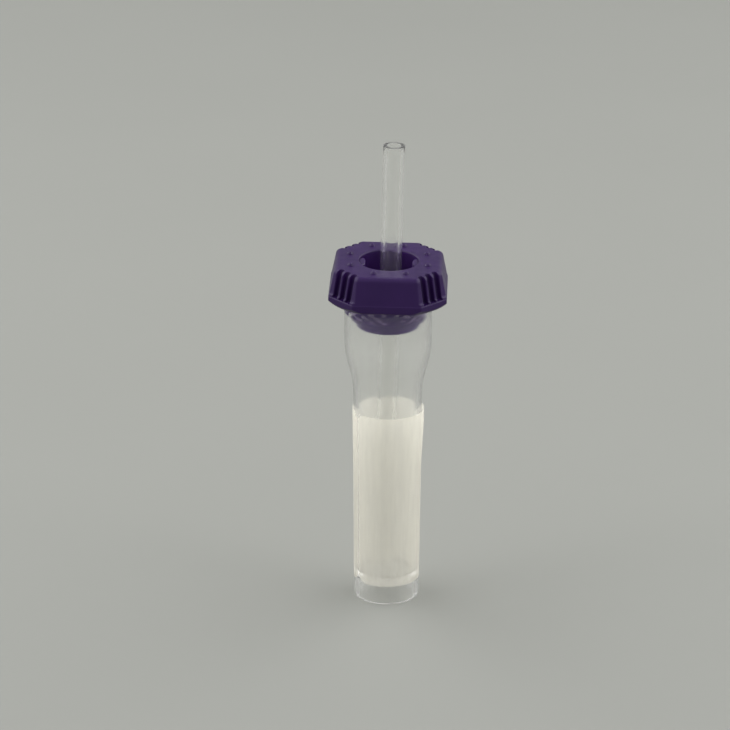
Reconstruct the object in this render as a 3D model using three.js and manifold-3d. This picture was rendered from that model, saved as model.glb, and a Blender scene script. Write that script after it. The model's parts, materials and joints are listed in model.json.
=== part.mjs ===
// A capillary blood collection tube, in millimetres and degrees, with +Z up.
//
// It has four separate pieces: a clear moulded vessel that stands on its own skirt, the film label
// wrapped round its body, an octagonal push-in cap, and the open-ended capillary that the cap holds.
// The origin is the centre of the vessel's foot, and the vessel's axis is the Z axis.

import * as THREE from 'three';
import { mergeVertices } from 'three/addons/utils/BufferGeometryUtils.js';
import Module from 'manifold-3d';

const wasm = await Module();
wasm.setup();

// ---------------------------------------------------------------- driving dimensions

const vessel = {
  footRadius: 5.0,
  skirtHeight: 3.2,      // foot to the underside of the closed bottom
  bottomThickness: 1.0,
  bottomFillet: 0.7,     // inside, where the bottom meets the wall
  wall: 0.8,
  draft: 0.5,            // the body widens upwards by this angle
  bodyHeight: 33.6,      // foot to the start of the neck
  neckHeight: 9.0,       // the S-shaped flare
  mouthHeight: 6.9,      // the straight collar that the plug seals in
  mouthRadius: 6.7,
  rimFillet: 0.25,
  footFillet: 0.2,
  gateRadius: 0.7,       // the mark that the mould's gate leaves under the bottom
  gateHeight: 0.2,
};

const label = {
  thickness: 0.1,
  standoff: 0.06,        // adhesive between the film and the vessel
  bottomMargin: 3.1,     // above the foot
  topMargin: 2.3,        // below the neck
  cornerRadius: 1.6,
  seamGap: 0.3,          // between the two ends
  seamAngle: 213,        // round the vessel from +X
  lift: 0.3,             // how far the upper edge has come away, on the side that lifted most
  leastLift: 0.06,
  liftAngle: -14,
  liftHeight: 11,        // length of film that has come away, from the upper edge down
};

const cap = {
  headHeight: 5.5,
  acrossFlatsTop: 16.1,
  acrossFlatsBottom: 17.9,
  cornerWidthTop: 5.06,  // width of each of the four corner faces
  cornerWidthBottom: 5.76,
  bandHeight: 1.3,       // plain band below the parting line
  partingStep: 0.08,
  ledgeHeight: 0.5,      // the foot of each corner face, above the parting line
  ledgeReach: 0.2,       // how far that foot stands out from the ribs
  edgeRadius: 0.5,       // upright edges
  topFillet: 0.65,
  bevelRadius: 9.65,     // the turned 45 degree bevel under the corners starts at this radius
  grooves: 3,            // in each corner face, from the parting line up, through the foot
  grooveDepth: 0.9,
  ribWidth: 0.46,
  landWidth: 0.65,
  wellChamfer: 0.28,
  plugWall: 1.34,
  plugDepth: 4.9,        // below the head
  sealHeight: 2.1,
  sealClearance: 0.07,
  tipTaper: 1.2,         // how much smaller the tip is than the seal, in radius
  tipFillet: 0.5,
  tipWall: 1.0,
  webThickness: 1.5,
  collarHeight: 2.2,     // above the web, round the capillary
  collarWall: 0.9,
  capillaryPlay: 0.28,   // round the capillary in its hole
  lugs: 2,               // catches inside the mouth of the well
  lugWidth: 3.2,
  lugReach: 0.95,
  lugHeight: 1.0,
  lugDepth: 0.25,        // below the top face
  pimples: 8,
  pimpleRadius: 0.46,
  pimpleHeight: 0.42,
  pimpleRing: 6.35,      // radius of the circle that they stand on
  pimpleTurn: 3,         // round the top face, from midway between the middles of the faces
};

const capillary = {
  radius: 1.64,
  bore: 1.05,            // bore radius
  length: 69.1,
  endChamfer: 0.1,
  tipGap: 0.3,           // above the vessel's bottom
};

// How the pieces sit: the cap is pressed in a little askew, and the capillary leans further, against
// one side of its hole.
const seating = {
  capTilt: 1.8,
  capTiltAngle: -71,     // the side that the cap leans to, round the vessel from +X
  capillaryTilt: 0.62,   // more than the cap, to +X
  capillaryWallGap: 0.03, // between the capillary and the side that it leans against
  rimClearance: 0.1,     // between the rim and the head at their closest
};

const detail = {
  round: 48,             // facets round the vessel, the label and the plug
  capillaryRound: 32,
  arc: 4,                // steps in a small fillet
};

// ---------------------------------------------------------------- derived dimensions

const radians = THREE.MathUtils.degToRad;

const vesselHeight = vessel.bodyHeight + vessel.neckHeight + vessel.mouthHeight;
const boreRadius = vessel.mouthRadius - vessel.wall;
const floorTop = vessel.skirtHeight + vessel.bottomThickness;
const bodyRadius = (z) => vessel.footRadius + z * Math.tan(radians(vessel.draft));

const sealRadius = boreRadius - cap.sealClearance;
const wellRadius = sealRadius - cap.plugWall;
const tipRadius = sealRadius - cap.tipTaper;
const holeRadius = capillary.radius + cap.capillaryPlay;
const rimGap = seating.rimClearance + vessel.mouthRadius * Math.sin(radians(seating.capTilt));

// ---------------------------------------------------------------- helpers

// Points of a circular arc in a profile, from one angle to another, with the centre at (x, y).
function arc(x, y, radius, from, to, steps = detail.arc) {
  const points = [];
  for (let i = 0; i <= steps; i += 1) {
    const angle = radians(from + ((to - from) * i) / steps);
    points.push(new THREE.Vector2(x + radius * Math.cos(angle), y + radius * Math.sin(angle)));
  }
  return points;
}

const at = (x, y) => new THREE.Vector2(x, y);

// Shares vertices and drops the triangles that collapse at a pole, so that the surface is closed.
function closed(geometry) {
  const bare = geometry.clone();
  bare.deleteAttribute('normal');
  bare.deleteAttribute('uv');
  const merged = mergeVertices(bare, 1e-5);
  const index = merged.index.array;
  const kept = [];
  for (let i = 0; i < index.length; i += 3) {
    const [a, b, c] = [index[i], index[i + 1], index[i + 2]];
    if (a !== b && b !== c && c !== a) {
      kept.push(a, b, c);
    }
  }
  merged.setIndex(kept);
  return merged;
}

function solid(geometry) {
  const { attributes, index } = closed(geometry);
  const mesh = new wasm.Mesh({
    numProp: 3,
    vertProperties: new Float32Array(attributes.position.array),
    triVerts: new Uint32Array(index.array),
  });
  return new wasm.Manifold(mesh);
}

function geometryOf(manifold) {
  const { vertProperties, triVerts } = manifold.getMesh();
  const geometry = new THREE.BufferGeometry();
  geometry.setAttribute('position', new THREE.BufferAttribute(vertProperties, 3));
  geometry.setIndex(new THREE.BufferAttribute(triVerts, 1));
  return geometry;
}

// Turns a profile of (radius, height) points round the Z axis. The profile runs anticlockwise, with the
// axis on its left: outwards along the bottom, up the outside and back along the top.
function turned(profile, facets = detail.round) {
  return new THREE.LatheGeometry(profile, facets).rotateX(Math.PI / 2);
}

// A closed body through a stack of outlines with equal numbers of points, capped at both ends.
function lofted(levels) {
  const count = levels[0].outline.length;
  const positions = levels.flatMap(({ outline, z }) => outline.flatMap((p) => [p.x, p.y, z]));
  const indices = [];
  for (let level = 0; level + 1 < levels.length; level += 1) {
    for (let i = 0; i < count; i += 1) {
      const a = level * count + i;
      const b = level * count + ((i + 1) % count);
      indices.push(a, b, b + count, a, b + count, a + count);
    }
  }
  const top = (levels.length - 1) * count;
  for (const [a, b, c] of THREE.ShapeUtils.triangulateShape(levels[0].outline, [])) {
    indices.push(a, c, b);
    indices.push(top + a, top + b, top + c);
  }
  const geometry = new THREE.BufferGeometry();
  geometry.setAttribute('position', new THREE.Float32BufferAttribute(positions, 3));
  geometry.setIndex(indices);
  return geometry;
}

// A thin closed sheet: place(across, up, side) gives the point at two parameters from 0 to 1,
// on the inner side at 0 and on the outer side at 1.
function film(columns, rows, place) {
  const positions = [];
  const index = (column, row, side) => (side * (rows + 1) + row) * (columns + 1) + column;
  for (let side = 0; side <= 1; side += 1) {
    for (let row = 0; row <= rows; row += 1) {
      for (let column = 0; column <= columns; column += 1) {
        positions.push(...place(column / columns, row, side).toArray());
      }
    }
  }
  const triangles = [];
  const quad = (a, b, c, d) => triangles.push(a, b, c, a, c, d);
  for (let row = 0; row < rows; row += 1) {
    for (let column = 0; column < columns; column += 1) {
      const corners = [[0, 0], [1, 0], [1, 1], [0, 1]];
      const [a, b, c, d] = corners.map(([x, y]) => index(column + x, row + y, 1));
      quad(a, b, c, d);
      const [e, f, g, h] = corners.map(([x, y]) => index(column + x, row + y, 0));
      quad(h, g, f, e);
    }
    quad(index(0, row, 0), index(0, row, 1), index(0, row + 1, 1), index(0, row + 1, 0));
    quad(
      index(columns, row, 1), index(columns, row, 0), index(columns, row + 1, 0), index(columns, row + 1, 1),
    );
  }
  for (let column = 0; column < columns; column += 1) {
    quad(index(column, 0, 0), index(column + 1, 0, 0), index(column + 1, 0, 1), index(column, 0, 1));
    quad(
      index(column, rows, 1), index(column + 1, rows, 1), index(column + 1, rows, 0), index(column, rows, 0),
    );
  }
  const geometry = new THREE.BufferGeometry();
  geometry.setAttribute('position', new THREE.Float32BufferAttribute(positions, 3));
  geometry.setIndex(triangles);
  return geometry;
}

function part(name, geometry, material) {
  const mesh = new THREE.Mesh(geometry, material);
  mesh.name = name;
  return mesh;
}

// ---------------------------------------------------------------- vessel

// The outer line of the neck: an S that leaves along the body and arrives along the mouth.
function neckCurve() {
  const start = at(bodyRadius(vessel.bodyHeight), vessel.bodyHeight);
  const end = at(vessel.mouthRadius, vessel.bodyHeight + vessel.neckHeight);
  const reach = 0.42 * vessel.neckHeight;
  const leaving = at(start.x + reach * Math.tan(radians(vessel.draft)), start.y + reach);
  return new THREE.CubicBezierCurve(start, leaving, at(end.x, end.y - reach), end);
}

function vesselGeometry() {
  const { wall, footFillet, rimFillet, bottomFillet, skirtHeight } = vessel;
  const curve = neckCurve();
  const steps = 8;
  const outerNeck = curve.getPoints(steps);
  const innerNeck = outerNeck.map((point, i) => {
    const along = curve.getTangent(i / steps);
    return at(point.x - wall * along.y, point.y + wall * along.x);
  });
  const skirtInside = vessel.footRadius - wall;
  const underFillet = 0.3;
  const wallInside = bodyRadius(floorTop) - wall;
  const profile = [
    at(0, skirtHeight - vessel.gateHeight),
    at(vessel.gateRadius - vessel.gateHeight, skirtHeight - vessel.gateHeight),
    at(vessel.gateRadius, skirtHeight),
    ...arc(skirtInside - underFillet, skirtHeight - underFillet, underFillet, 90, 0),
    at(skirtInside, 0),
    ...arc(vessel.footRadius - footFillet, footFillet, footFillet, -90, 0),
    ...outerNeck,
    ...arc(vessel.mouthRadius - rimFillet, vesselHeight - rimFillet, rimFillet, 0, 90),
    ...arc(boreRadius + rimFillet, vesselHeight - rimFillet, rimFillet, 90, 180),
    ...innerNeck.reverse(),
    ...arc(wallInside - bottomFillet, floorTop + bottomFillet, bottomFillet, 0, -90),
    at(0, floorTop),
  ];
  return closed(turned(profile));
}

// ---------------------------------------------------------------- label

// How far the film stands off the vessel at an angle and height: the adhesive alone over most of it,
// and more towards the upper edge, where the film has come away before the neck.
function labelLift(angle, z, top) {
  const rise = THREE.MathUtils.smoothstep(z, top - label.liftHeight, top - 0.1 * label.liftHeight);
  const facing = 0.5 + 0.5 * Math.cos(angle - radians(label.liftAngle));
  return rise * (label.leastLift + (label.lift - label.leastLift) * facing * facing);
}

function labelGeometry() {
  const bottom = label.bottomMargin;
  const top = vessel.bodyHeight - label.topMargin;
  const filmRadius = (z) => bodyRadius(z) + label.standoff;
  const halfWidth = (z) => Math.PI * filmRadius(z) - label.seamGap / 2;
  const { cornerRadius } = label;

  // Heights of the rows, with the inset of the rounded corners at each.
  const rows = [];
  for (const point of arc(0, 0, cornerRadius, -90, 0)) {
    rows.push({ z: bottom + cornerRadius + point.y, inset: cornerRadius - point.x });
  }
  const straight = top - bottom - 2 * cornerRadius;
  const bands = 6;
  for (let i = 1; i < bands; i += 1) {
    rows.push({ z: bottom + cornerRadius + (straight * i) / bands, inset: 0 });
  }
  for (const point of arc(0, 0, cornerRadius, 0, 90)) {
    rows.push({ z: top - cornerRadius + point.y, inset: cornerRadius - point.x });
  }

  const place = (across, row, side) => {
    const { z, inset } = rows[row];
    const around = ((2 * across - 1) * (halfWidth(z) - inset)) / filmRadius(z);
    const angle = radians(label.seamAngle) + Math.PI + around;
    const radius = filmRadius(z) + labelLift(angle, z, top) + side * label.thickness;
    return new THREE.Vector3(radius * Math.cos(angle), radius * Math.sin(angle), z);
  };
  return closed(film(detail.round, rows.length - 1, place));
}

// ---------------------------------------------------------------- cap

// The cap is modelled with its own origin under the head, on its axis.

// A square with its corners cut off, given by the distance across its flats and the width of its
// corner faces, drawn in by an inset. Every one of the eight upright edges is rounded.
function octagon(acrossFlats, cornerWidth, inset) {
  const half = acrossFlats / 2 - inset;
  const face = cornerWidth - 2 * inset * Math.tan(radians(22.5));
  const flat = half - face * Math.SQRT1_2;
  const radius = Math.max(cap.edgeRadius - inset / 2, 0.1);
  const back = radius * Math.tan(radians(22.5));
  const outline = [];
  for (let side = 0; side < 4; side += 1) {
    const turn = 90 * side;
    const place = (x, y) => at(x, y).rotateAround(at(0, 0), radians(turn));
    const centre = at(half - radius, flat - back);
    const other = at(flat - back, half - radius);
    outline.push(...arc(centre.x, centre.y, radius, 0, 45, 2).map((p) => place(p.x, p.y)));
    outline.push(...arc(other.x, other.y, radius, 45, 90, 2).map((p) => place(p.x, p.y)));
  }
  return outline;
}

function headBody() {
  const { acrossFlatsTop, acrossFlatsBottom, cornerWidthTop, cornerWidthBottom } = cap;
  const { bandHeight, partingStep, ledgeHeight, ledgeReach, headHeight, topFillet } = cap;
  const share = (z) => (z - bandHeight) / (headHeight - bandHeight);
  const level = (z, inset, cornerReach = 0) => {
    const t = Math.max(share(z), 0);
    const flats = THREE.MathUtils.lerp(acrossFlatsBottom, acrossFlatsTop, t);
    const corner = THREE.MathUtils.lerp(cornerWidthBottom, cornerWidthTop, t);
    return { z, outline: octagon(flats, corner - 2 * cornerReach, inset) };
  };
  const ledge = bandHeight + ledgeHeight;
  return solid(lofted([
    level(0, 0, ledgeReach),
    level(bandHeight, 0, ledgeReach),
    level(bandHeight, partingStep, ledgeReach),
    level(ledge - ledgeReach, partingStep, ledgeReach),
    level(ledge, partingStep),
    ...arc(0, headHeight - topFillet, topFillet, 0, 90).map((p) => level(p.y, topFillet - p.x)),
  ]));
}

// The bevel under the corners, as on a turned nut: a cone that leaves only what lies inside it.
function bevelCone() {
  const reach = cap.acrossFlatsBottom;
  return solid(turned([
    at(0, -1),
    at(cap.bevelRadius - 1, -1),
    at(reach, reach - cap.bevelRadius),
    at(reach, reach + cap.headHeight),
    at(0, reach + cap.headHeight),
  ], 2 * detail.round));
}

// The corner faces' distance from the axis, at the band and at the top.
function cornerDistance(acrossFlats, cornerWidth) {
  return acrossFlats * Math.SQRT1_2 - cornerWidth / 2;
}

function gripGrooves() {
  const { grooves, grooveDepth, ribWidth, landWidth, bandHeight, headHeight } = cap;
  const low = cornerDistance(cap.acrossFlatsBottom, cap.cornerWidthBottom);
  const high = cornerDistance(cap.acrossFlatsTop, cap.cornerWidthTop);
  const lean = Math.atan2(low - high, headHeight - bandHeight);
  const width = (cap.cornerWidthTop - 2 * landWidth - (grooves - 1) * ribWidth) / grooves;
  const outside = 2;
  const section = new THREE.Shape(
    [at(outside, -width / 2), ...arc(width / 2 - grooveDepth, 0, width / 2, 270, 90, 6), at(outside, width / 2)],
  );
  const cutter = new THREE.ExtrudeGeometry(section, { depth: headHeight + 2, bevelEnabled: false });
  const cut = [];
  for (let corner = 0; corner < 4; corner += 1) {
    for (let i = 0; i < grooves; i += 1) {
      const aside = (i - (grooves - 1) / 2) * (width + ribWidth);
      const groove = cutter.clone().rotateY(-lean);
      groove.translate(low, aside, bandHeight);
      cut.push(solid(groove.rotateZ(radians(45 + 90 * corner))));
    }
  }
  return cut;
}

// The plug: a seal band that fills the mouth, then a cone down to a rounded tip.
function plugBody() {
  const { plugDepth, sealHeight, tipFillet } = cap;
  const bead = 0.4;
  return solid(turned([
    at(0, -plugDepth),
    ...arc(tipRadius - tipFillet, -plugDepth + tipFillet, tipFillet, -90, -20),
    at(sealRadius - 1.5 * bead, -sealHeight - 1.5 * bead),
    ...arc(sealRadius - bead, -sealHeight, bead, -45, 0),
    at(sealRadius, -0.2),
    at(sealRadius - 0.2, 0),
    at(sealRadius - 0.2, cap.bandHeight),
    at(0, cap.bandHeight),
  ]));
}

// The well down the middle: open at the top of the head, narrowing with the plug to the web.
function wellSpace() {
  const { headHeight, wellChamfer, plugDepth, webThickness, tipWall, sealHeight } = cap;
  const floor = webThickness - plugDepth;
  const floorRadius = tipRadius - tipWall;
  const fillet = 0.4;
  return solid(turned([
    at(0, floor),
    ...arc(floorRadius - fillet, floor + fillet, fillet, -90, 0),
    at(wellRadius, -sealHeight + 0.6),
    at(wellRadius, headHeight - wellChamfer),
    at(wellRadius + wellChamfer, headHeight),
    at(wellRadius + wellChamfer, headHeight + 1),
    at(0, headHeight + 1),
  ]));
}

// The collar that rises from the web and steadies the capillary.
function collarBody() {
  const { plugDepth, webThickness, collarHeight, collarWall } = cap;
  const web = webThickness - plugDepth;
  const radius = holeRadius + collarWall;
  return solid(turned([
    at(0, web - webThickness / 2),
    at(radius, web - webThickness / 2),
    ...arc(radius - 0.3, web + collarHeight - 0.3, 0.3, 0, 90),
    at(0, web + collarHeight),
  ]));
}

function capillaryHole() {
  const { plugDepth, headHeight } = cap;
  const lead = 0.3;
  return solid(turned([
    at(0, -plugDepth - 1),
    at(holeRadius + lead + 1, -plugDepth - 1),
    at(holeRadius, -plugDepth + lead),
    at(holeRadius, headHeight),
    at(0, headHeight),
  ], detail.capillaryRound));
}

// A catch inside the mouth of the well, with a flat top, a sloping nose and an undercut.
function catchLugs() {
  const { lugs, lugWidth, lugReach, lugHeight, lugDepth, headHeight } = cap;
  const top = headHeight - lugDepth;
  const root = wellRadius + 0.5;
  const nose = wellRadius - lugReach;
  const section = new THREE.Shape([
    at(root, top - lugHeight - 0.3),
    at(root, top),
    at(nose + 0.25, top),
    at(nose, top - 0.2),
    at(nose, top - 0.55 * lugHeight),
    at(wellRadius, top - lugHeight),
  ]);
  const bar = new THREE.ExtrudeGeometry(section, { depth: lugWidth, bevelEnabled: false });
  bar.translate(0, 0, -lugWidth / 2).rotateX(Math.PI / 2);
  const found = [];
  for (let i = 0; i < lugs; i += 1) {
    found.push(solid(bar.clone().rotateZ((2 * Math.PI * i) / lugs)));
  }
  return found;
}

// Small domes on the top face, between the well and the flats.
function topPimples() {
  const { pimples, pimpleRadius, pimpleHeight, pimpleRing, pimpleTurn, headHeight } = cap;
  const root = 0.1;
  const dome = new THREE.CatmullRomCurve3([
    new THREE.Vector3(pimpleRadius, 0, 0),
    new THREE.Vector3(0.85 * pimpleRadius, 0.5 * pimpleHeight, 0),
    new THREE.Vector3(0.5 * pimpleRadius, 0.87 * pimpleHeight, 0),
    new THREE.Vector3(0, pimpleHeight, 0),
  ]).getPoints(3).map((p) => at(p.x, p.y));
  const profile = [at(0, -root), at(pimpleRadius, -root), ...dome.slice(0, -1), at(0, pimpleHeight)];
  const found = [];
  for (let i = 0; i < pimples; i += 1) {
    const angle = (2 * Math.PI * (i + 0.5)) / pimples + radians(pimpleTurn);
    const pimple = turned(profile, 8)
      .translate(pimpleRing * Math.cos(angle), pimpleRing * Math.sin(angle), headHeight);
    found.push(solid(pimple));
  }
  return found;
}

function capGeometry() {
  const { Manifold } = wasm;
  const head = headBody().intersect(bevelCone()).subtract(Manifold.union(gripGrooves()));
  const hollow = head.add(plugBody()).subtract(wellSpace());
  const whole = hollow.add(collarBody()).add(Manifold.union([...catchLugs(), ...topPimples()]));
  return geometryOf(whole.subtract(capillaryHole()));
}

// ---------------------------------------------------------------- capillary

// An open tube about its own axis, with its lower end at z = 0 and its cut edges eased.
function capillaryGeometry() {
  const { radius, bore, length, endChamfer } = capillary;
  return closed(turned([
    at(bore + endChamfer, 0),
    at(radius - endChamfer, 0),
    at(radius, endChamfer),
    at(radius, length - endChamfer),
    at(radius - endChamfer, length),
    at(bore + endChamfer, length),
    at(bore, length - endChamfer),
    at(bore, endChamfer),
    at(bore + endChamfer, 0),
  ], detail.capillaryRound));
}

// ---------------------------------------------------------------- assembly

const clearPolypropylene = new THREE.MeshStandardMaterial({
  color: 0xd9dad6, roughness: 0.22, metalness: 0, transparent: true, opacity: 0.4,
});
const labelFilm = new THREE.MeshStandardMaterial({
  color: 0xded9c6, roughness: 0.45, metalness: 0, transparent: true, opacity: 0.85,
});
const purplePolyethylene = new THREE.MeshStandardMaterial({ color: 0x46306b, roughness: 0.5, metalness: 0 });
const clearAcrylic = new THREE.MeshStandardMaterial({
  color: 0xe4e4e0, roughness: 0.08, metalness: 0, transparent: true, opacity: 0.3,
});

const assembly = new THREE.Group();
assembly.add(part('tube', vesselGeometry(), clearPolypropylene));
assembly.add(part('label', labelGeometry(), labelFilm));

// The cap turns about the middle of its seal band, so that the plug stays centred in the mouth.
const headUnderside = vesselHeight + rimGap;
const sealMiddle = cap.sealHeight / 2;
const capGroup = new THREE.Group();
capGroup.position.z = headUnderside - sealMiddle;
const tiltAngle = radians(seating.capTiltAngle);
const tiltAxis = new THREE.Vector3(-Math.sin(tiltAngle), Math.cos(tiltAngle), 0);
capGroup.quaternion.setFromAxisAngle(tiltAxis, radians(seating.capTilt));
const capMesh = part('cap', capGeometry(), purplePolyethylene);
capMesh.position.z = sealMiddle;
capGroup.add(capMesh);
assembly.add(capGroup);

// The capillary turns about the middle of its hole, moved to the side that it leans against, and
// stops just above the vessel's bottom.
const holeLength = cap.webThickness + cap.collarHeight;
const holeMiddle = sealMiddle - cap.plugDepth + holeLength / 2;
const swing = (holeLength / 2) * Math.tan(radians(seating.capillaryTilt));
const aside = cap.capillaryPlay - swing - seating.capillaryWallGap;
const capillaryGroup = new THREE.Group();
capillaryGroup.position.set(aside, 0, holeMiddle);
capillaryGroup.rotation.y = radians(seating.capillaryTilt);
const leaning = capGroup.quaternion.clone().multiply(capillaryGroup.quaternion);
const lean = new THREE.Vector3(0, 0, 1).angleTo(new THREE.Vector3(0, 0, 1).applyQuaternion(leaning));
const holeHeight = capillaryGroup.position.clone().applyQuaternion(capGroup.quaternion).z + capGroup.position.z;
const lowestEdge = floorTop + capillary.tipGap + capillary.radius * Math.sin(lean);
const capillaryMesh = part('capillary', capillaryGeometry(), clearAcrylic);
capillaryMesh.position.z = -(holeHeight - lowestEdge) / Math.cos(lean);
capillaryGroup.add(capillaryMesh);
capGroup.add(capillaryGroup);

export default assembly;
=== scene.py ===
# %% [markdown]
# # A capillary blood collection tube
#
# The object is 73 mm tall and has four separate pieces: a clear moulded tube that stands on its own
# skirt, a translucent film label round it, a purple push-in cap, and a thin clear capillary that the cap
# holds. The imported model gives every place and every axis. This script gives the surfaces: it makes each
# piece again as a fine mesh, because light that passes through a clear wall shows every facet.

import json
import math

import bpy
import numpy as np
from mathutils import Matrix, Vector
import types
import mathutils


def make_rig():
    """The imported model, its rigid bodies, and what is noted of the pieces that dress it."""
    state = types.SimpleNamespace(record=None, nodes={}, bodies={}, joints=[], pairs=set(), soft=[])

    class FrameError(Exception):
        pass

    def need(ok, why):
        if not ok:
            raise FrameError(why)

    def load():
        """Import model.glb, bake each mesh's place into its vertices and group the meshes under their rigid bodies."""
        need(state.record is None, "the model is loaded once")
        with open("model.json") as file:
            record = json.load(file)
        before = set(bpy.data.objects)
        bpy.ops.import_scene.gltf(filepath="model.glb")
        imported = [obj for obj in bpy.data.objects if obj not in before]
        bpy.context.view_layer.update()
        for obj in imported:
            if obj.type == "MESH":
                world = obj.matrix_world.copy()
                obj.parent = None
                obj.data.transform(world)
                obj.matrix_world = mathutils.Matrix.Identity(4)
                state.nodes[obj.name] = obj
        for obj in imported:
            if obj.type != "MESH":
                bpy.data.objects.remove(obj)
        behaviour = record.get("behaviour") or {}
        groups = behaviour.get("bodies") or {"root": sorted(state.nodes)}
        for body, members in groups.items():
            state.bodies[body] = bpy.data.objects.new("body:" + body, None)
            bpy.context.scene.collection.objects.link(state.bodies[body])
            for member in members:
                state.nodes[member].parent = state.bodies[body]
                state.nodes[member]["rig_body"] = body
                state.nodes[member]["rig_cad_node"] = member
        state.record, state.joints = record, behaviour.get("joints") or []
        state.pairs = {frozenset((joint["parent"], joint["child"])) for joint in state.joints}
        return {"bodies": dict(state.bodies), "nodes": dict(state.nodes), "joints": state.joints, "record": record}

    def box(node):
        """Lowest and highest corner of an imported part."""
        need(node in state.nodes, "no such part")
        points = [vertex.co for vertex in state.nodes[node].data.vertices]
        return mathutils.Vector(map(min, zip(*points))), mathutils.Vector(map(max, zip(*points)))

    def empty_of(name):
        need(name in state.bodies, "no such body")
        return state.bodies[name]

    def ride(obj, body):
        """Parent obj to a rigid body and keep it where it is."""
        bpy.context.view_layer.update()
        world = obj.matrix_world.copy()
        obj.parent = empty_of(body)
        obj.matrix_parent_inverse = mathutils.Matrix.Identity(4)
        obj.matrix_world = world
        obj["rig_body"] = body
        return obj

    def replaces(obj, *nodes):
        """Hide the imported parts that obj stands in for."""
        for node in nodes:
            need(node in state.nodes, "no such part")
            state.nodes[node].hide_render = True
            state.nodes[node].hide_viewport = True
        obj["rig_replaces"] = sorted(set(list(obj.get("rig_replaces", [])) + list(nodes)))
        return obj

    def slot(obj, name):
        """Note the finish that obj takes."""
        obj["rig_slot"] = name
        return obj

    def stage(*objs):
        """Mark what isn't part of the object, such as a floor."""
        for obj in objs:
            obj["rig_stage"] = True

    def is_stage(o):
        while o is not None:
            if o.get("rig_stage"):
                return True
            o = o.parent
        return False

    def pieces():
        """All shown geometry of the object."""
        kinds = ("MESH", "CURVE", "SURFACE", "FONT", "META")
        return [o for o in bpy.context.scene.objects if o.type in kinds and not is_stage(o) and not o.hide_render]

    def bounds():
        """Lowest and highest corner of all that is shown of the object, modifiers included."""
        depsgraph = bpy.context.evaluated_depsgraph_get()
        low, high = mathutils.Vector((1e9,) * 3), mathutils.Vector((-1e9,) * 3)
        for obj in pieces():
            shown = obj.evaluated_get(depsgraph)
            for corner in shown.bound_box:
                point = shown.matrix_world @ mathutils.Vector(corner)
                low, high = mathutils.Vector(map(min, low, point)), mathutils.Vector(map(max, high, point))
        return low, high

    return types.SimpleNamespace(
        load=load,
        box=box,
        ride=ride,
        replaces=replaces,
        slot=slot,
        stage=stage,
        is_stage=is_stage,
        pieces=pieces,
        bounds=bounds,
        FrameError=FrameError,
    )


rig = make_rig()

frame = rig.load()
cad_box = [list(corner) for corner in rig.bounds()]
print("nodes:", sorted(frame["nodes"]), "bodies:", sorted(frame["bodies"]))
print("box in mm:", [[round(1000 * x, 2) for x in corner] for corner in cad_box])

# %% [markdown]
# ## Measures
#
# The model's own numbers are in metres, and a small object is easier to think about in millimetres, so
# the shapes below are worked out in millimetres and scaled once, where the mesh is made. Heights and the
# mouth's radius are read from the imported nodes. The lean of the cap and of the capillary is the lean of
# the joint axes that they slide along.

# %% Sizes shared by several pieces
MM = 0.001
COLUMNS = 256                     # steps round a turned piece

tube_high = [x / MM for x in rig.box("tube")[1]]
label_low, label_high = ([x / MM for x in corner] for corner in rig.box("label"))
mouth_radius, mouth_top = tube_high[0], tube_high[2]
wall = 0.8                        # the tube's wall, the same all over
bore_radius = mouth_radius - wall
foot_radius = 5.0
draft = math.radians(0.5)         # the body widens upwards, so that it leaves its mould
skirt_height = 3.2
floor_top = skirt_height + 1.0    # the upper face of the closed bottom


def body_radius(height):
    """The outside radius of the body: the foot's radius plus the height times the tangent of the draft."""
    return foot_radius + height * math.tan(draft)


def joint_axis(name):
    """The unit vector that a joint slides along."""
    found = next(joint for joint in frame["joints"] if joint["name"] == name)
    return Vector(found["axis"]).normalized()


cap_axis = joint_axis("cap_pull")
capillary_axis = joint_axis("capillary_pull")
cap_lean = math.acos(cap_axis.z)
print("mouth radius", round(mouth_radius, 3), "height", round(mouth_top, 3))
print("cap leans", round(math.degrees(cap_lean), 2), "degrees")

# %% [markdown]
# ## Making a mesh from a grid
#
# Every piece is a grid of points worked out as one numpy array, rows along a profile and columns round
# it. Nothing is sculpted and no primitive is bent into shape, so each form is its formula. A grid closes
# in one of three ways: its rows meet end to end, as on a ring; its two ends shrink to a point, as on the
# tube's bottom; or it is one side of a sheet with a second side behind it.

# %% Grid helpers


def arc(x, y, radius, start, end, steps=8):
    """Points of an arc: the centre plus the radius times the cosine and sine of an even run of angles."""
    angle = np.radians(np.linspace(start, end, steps + 1))
    return np.stack([x + radius * np.cos(angle), y + radius * np.sin(angle)], axis=1)


def straight(start, end, steps):
    """Points between two points, without either: the start plus an even share of the way."""
    share = np.linspace(0, 1, steps + 1)[1:-1, None]
    return (1 - share) * np.array(start, float) + share * np.array(end, float)


def smooth(value, low, high):
    """0 below low, 1 above high, and three times the square less twice the cube of the share between."""
    share = np.clip((value - low) / (high - low), 0, 1)
    return share * share * (3 - 2 * share)


def turned(profile, columns=COLUMNS):
    """Carries a profile round Z: x and y are its radius times the angle's cosine and sine, z its height."""
    angle = np.linspace(0, 2 * np.pi, columns, endpoint=False)
    radius, height = profile[:, :1], profile[:, 1:]
    return np.stack([radius * np.cos(angle), radius * np.sin(angle), height + 0 * angle], axis=-1)


def grid_faces(rows, columns, ring=False):
    """Faces of a grid whose columns close on themselves. As a ring its last row meets its first."""
    index = np.arange(rows * columns).reshape(rows, columns)
    beside = np.roll(index, -1, axis=1)
    above, over = np.roll(index, -1, axis=0), np.roll(beside, -1, axis=0)
    faces = np.stack([index, beside, over, above], axis=-1)
    return (faces if ring else faces[:-1]).reshape(-1, 4).tolist()


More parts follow.
